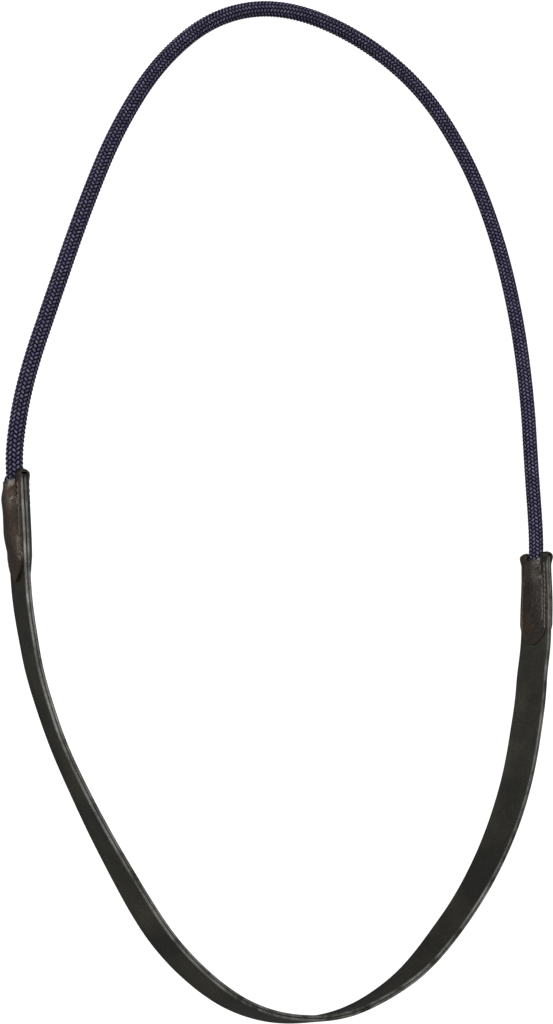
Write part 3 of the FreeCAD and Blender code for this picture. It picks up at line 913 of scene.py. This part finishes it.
def tab_rows(side):
    """Rows of (along, across, up) from the outer tongue's tip, round the fold, to the inner one's."""
    columns = [tab_up(column) for column in range(TAB_COLUMNS + 1)]
    tongues = {1: [], -1: []}
    for facing, tongue in tongues.items():
        for row in range(TONGUE_ROWS + 1):
            line = []
            for up in columns:
                along = tip_along(up) + (lip_along(up) - tip_along(up)) * row / TONGUE_ROWS
                line.append((along, facing * tab_height(side, facing, along, up), spread(along, up)))
            tongue.append(line)
    fold = []
    for step in range(1, FOLD_STEPS):
        angle = math.pi * (0.5 - step / FOLD_STEPS)
        line = []
        for up in columns:
            reach = max(ear_reach(up), lip_along(up) + 0.0001)
            along = reach + PLY * math.cos(angle)
            across = PLY * math.sin(angle) * (1 + 0.12 * math.cos(angle))
            line.append((along, across, spread(along, up)))
        fold.append(line)
    return tongues[1], fold, tongues[-1][::-1]


def tab_mesh(side):
    outer, fold, inner = tab_rows(side)
    rows = outer + fold + inner
    points = []
    for line in rows:
        for along, across, up in line:
            points.append(Station(end_run(side, along)).point(across, up))
    width = TAB_COLUMNS + 1
    middle = TAB_COLUMNS // 2
    faces = []
    for row in range(len(rows) - 1):
        over_fold = len(outer) - 1 <= row < len(outer) + len(fold)
        for column in range(TAB_COLUMNS):
            in_hole = middle - HOLE_COLUMN <= column < middle + HOLE_COLUMN
            if not (over_fold and in_hole):
                start = row * width + column
                faces.append((start, start + 1, start + width + 1, start + width))
    mesh = bpy.data.meshes.new(f"{side}_end_tab")
    mesh.from_pydata(points, [], faces)
    shape = bmesh.new()
    shape.from_mesh(mesh)
    loose = [vertex for vertex in shape.verts if not vertex.link_faces]
    bmesh.ops.delete(shape, geom=loose, context="VERTS")
    shape.normal_update()
    outward = Station(end_run(side, -0.02)).outward
    shape.faces.ensure_lookup_table()
    if shape.faces[TONGUE_ROWS * TAB_COLUMNS // 2].normal.dot(outward) < 0:
        bmesh.ops.reverse_faces(shape, faces=shape.faces)
    shape.to_mesh(mesh)
    shape.free()
    return mesh


def make_tab(side):
    piece = new_piece(f"{side}_cord_tab", tab_mesh(side), material=TAB_LEATHER)
    wall = piece.modifiers.new("thickness", "SOLIDIFY")
    wall.thickness = TAB_THICKNESS
    wall.offset = 1
    wall.use_even_offset = True
    rounding = piece.modifiers.new("rounded_edges", "BEVEL")
    rounding.width = 0.00042
    rounding.segments = 3
    rounding.limit_method = "ANGLE"
    rounding.angle_limit = math.radians(50)
    mesh = finished_mesh(f"{side}_cord_tab", piece)
    add_tab_edges(mesh)
    new_piece(f"{side}_cord_tab", mesh, "strap", (f"{side}_end_tab",), TAB_LEATHER)


def add_tab_edges(mesh):
    """Mark the points near the tab's cut edges, which are burnished."""
    shape = bmesh.new()
    shape.from_mesh(mesh)
    values = []
    for vertex in shape.verts:
        sharp = max((edge.calc_face_angle(0) for edge in vertex.link_edges), default=0)
        values.append(smooth(math.radians(12), math.radians(28), sharp))
    shape.free()
    mesh.attributes.new("edge", "FLOAT", "POINT").data.foreach_set("value", values)


for tab_side in SIDES:
    make_tab(tab_side)


# ---------------------------------------------------------------- stitches


def stitch_tree():
    """Stitches of twisted thread on points that carry the leather's normal and the row's direction."""
    group = Group("saddle_stitches", "GeometryNodeTree")
    tree = group.tree
    places = group.takes("Places", "NodeSocketGeometry")
    length = group.takes("Length", "NodeSocketFloat", 0.003)
    thickness = group.takes("Thread Radius", "NodeSocketFloat", 0.0004)
    dip = group.takes("Dip", "NodeSocketFloat", 0.0006)
    slant = group.takes("Slant", "NodeSocketFloat", 0.15)
    material = group.takes("Material", "NodeSocketMaterial")

    half = math_node(tree, "MULTIPLY", length, 0.5)
    back = math_node(tree, "MULTIPLY", half, -1.0)
    down = math_node(tree, "MULTIPLY", dip, -1.0)
    start = add_node(tree, "ShaderNodeCombineXYZ", X=back, Z=down)
    middle = add_node(tree, "ShaderNodeCombineXYZ", Z=math_node(tree, "MULTIPLY", dip, 1.2))
    stop = add_node(tree, "ShaderNodeCombineXYZ", X=half, Z=down)
    bow = add_node(tree, "GeometryNodeCurveQuadraticBezier", Resolution=8, Start=start.outputs[0],
                   Middle=middle.outputs[0], End=stop.outputs[0])
    ring = add_node(tree, "GeometryNodeCurvePrimitiveCircle", Resolution=8, Radius=thickness)
    bar = add_node(tree, "GeometryNodeCurveToMesh", Curve=bow.outputs[0], Profile_Curve=ring.outputs[0],
                   Fill_Caps=True)
    as_vector = {"data_type": "FLOAT_VECTOR"}
    normal = add_node(tree, "GeometryNodeInputNamedAttribute", as_vector, Name="leather_normal")
    ahead = add_node(tree, "GeometryNodeInputNamedAttribute", as_vector, Name="row_direction")
    lay = laid_on(tree, normal.outputs[0], ahead.outputs[0], slant)
    stitches = add_node(tree, "GeometryNodeInstanceOnPoints", Points=places, Instance=bar.outputs[0],
                        Rotation=lay, Scale=random_number(tree, 0.94, 1.05, 3))
    return finish_tree(group, stitches.outputs[0], material)


STITCH_TREE = stitch_tree()
STITCH_LENGTH = 0.0030


def stitch_places(name, side, row):
    """Points for one row of stitches on both faces of a strap end."""
    points = []
    normals = []
    directions = []
    for start in STITCH_STARTS:
        along = start - STITCH_LENGTH / 2
        station = Station(end_run(side, along))
        for face in (1, -1):
            height = tab_height(side, face, along, ROW_HEIGHT) + TAB_THICKNESS + 0.0002
            points.append(station.point(face * height, row * ROW_HEIGHT))
            normals.append(station.outward * face)
            directions.append(station.ahead)
    places = line_object(name, points)
    keep_vectors(places.data, "leather_normal", normals)
    keep_vectors(places.data, "row_direction", directions)
    return places


def make_stitch_row(side, level, row):
    name = f"{side}_{level}_stitch_row"
    mesh = run_tree(
        name, stitch_places(name, side, row), STITCH_TREE, Length=STITCH_LENGTH, Thread_Radius=0.00046,
        Dip=0.00045, Slant=math.radians(8), Material=STITCH_THREAD,
    )
    new_piece(name, mesh, "strap", (f"{side}_{level}_stitches",), STITCH_THREAD)


for stitch_side in SIDES:
    make_stitch_row(stitch_side, "upper", 1)
    make_stitch_row(stitch_side, "lower", -1)


# ---------------------------------------------------------------- floor and light


def make_floor():
    reach = 4.0
    corners = [(-reach, -reach, 0), (reach, -reach, 0), (reach, reach, 0), (-reach, reach, 0)]
    mesh = bpy.data.meshes.new("studio_floor")
    mesh.from_pydata(corners, [], [(0, 1, 2, 3)])
    mesh.materials.append(floor_material())
    floor = bpy.data.objects.new("studio_floor", mesh)
    bpy.context.scene.collection.objects.link(floor)


def soft_sun(name, direction, spread, strength):
    """A wide, soft light; direction points from the object to the light, and spread is in degrees."""
    light = bpy.data.lights.new(name, "SUN")
    light.energy = strength
    light.angle = math.radians(spread)
    holder = bpy.data.objects.new(name, light)
    holder.rotation_euler = Vector(direction).to_track_quat("Z", "Y").to_euler()
    bpy.context.scene.collection.objects.link(holder)


def make_world():
    world = bpy.data.worlds.new("studio")
    world.use_nodes = True
    sky = world.node_tree.nodes["Background"]
    sky.inputs["Color"].default_value = (0.97, 0.98, 1.0, 1)
    sky.inputs["Strength"].default_value = 0.22
    bpy.context.scene.world = world


make_floor()
make_world()
soft_sun("overhead_light", direction=(-0.15, 0.10, 1), spread=26, strength=2.4)
soft_sun("left_light", direction=(-1, 0.12, 0.36), spread=18, strength=1.7)
bpy.context.scene.view_settings.view_transform = "Standard"
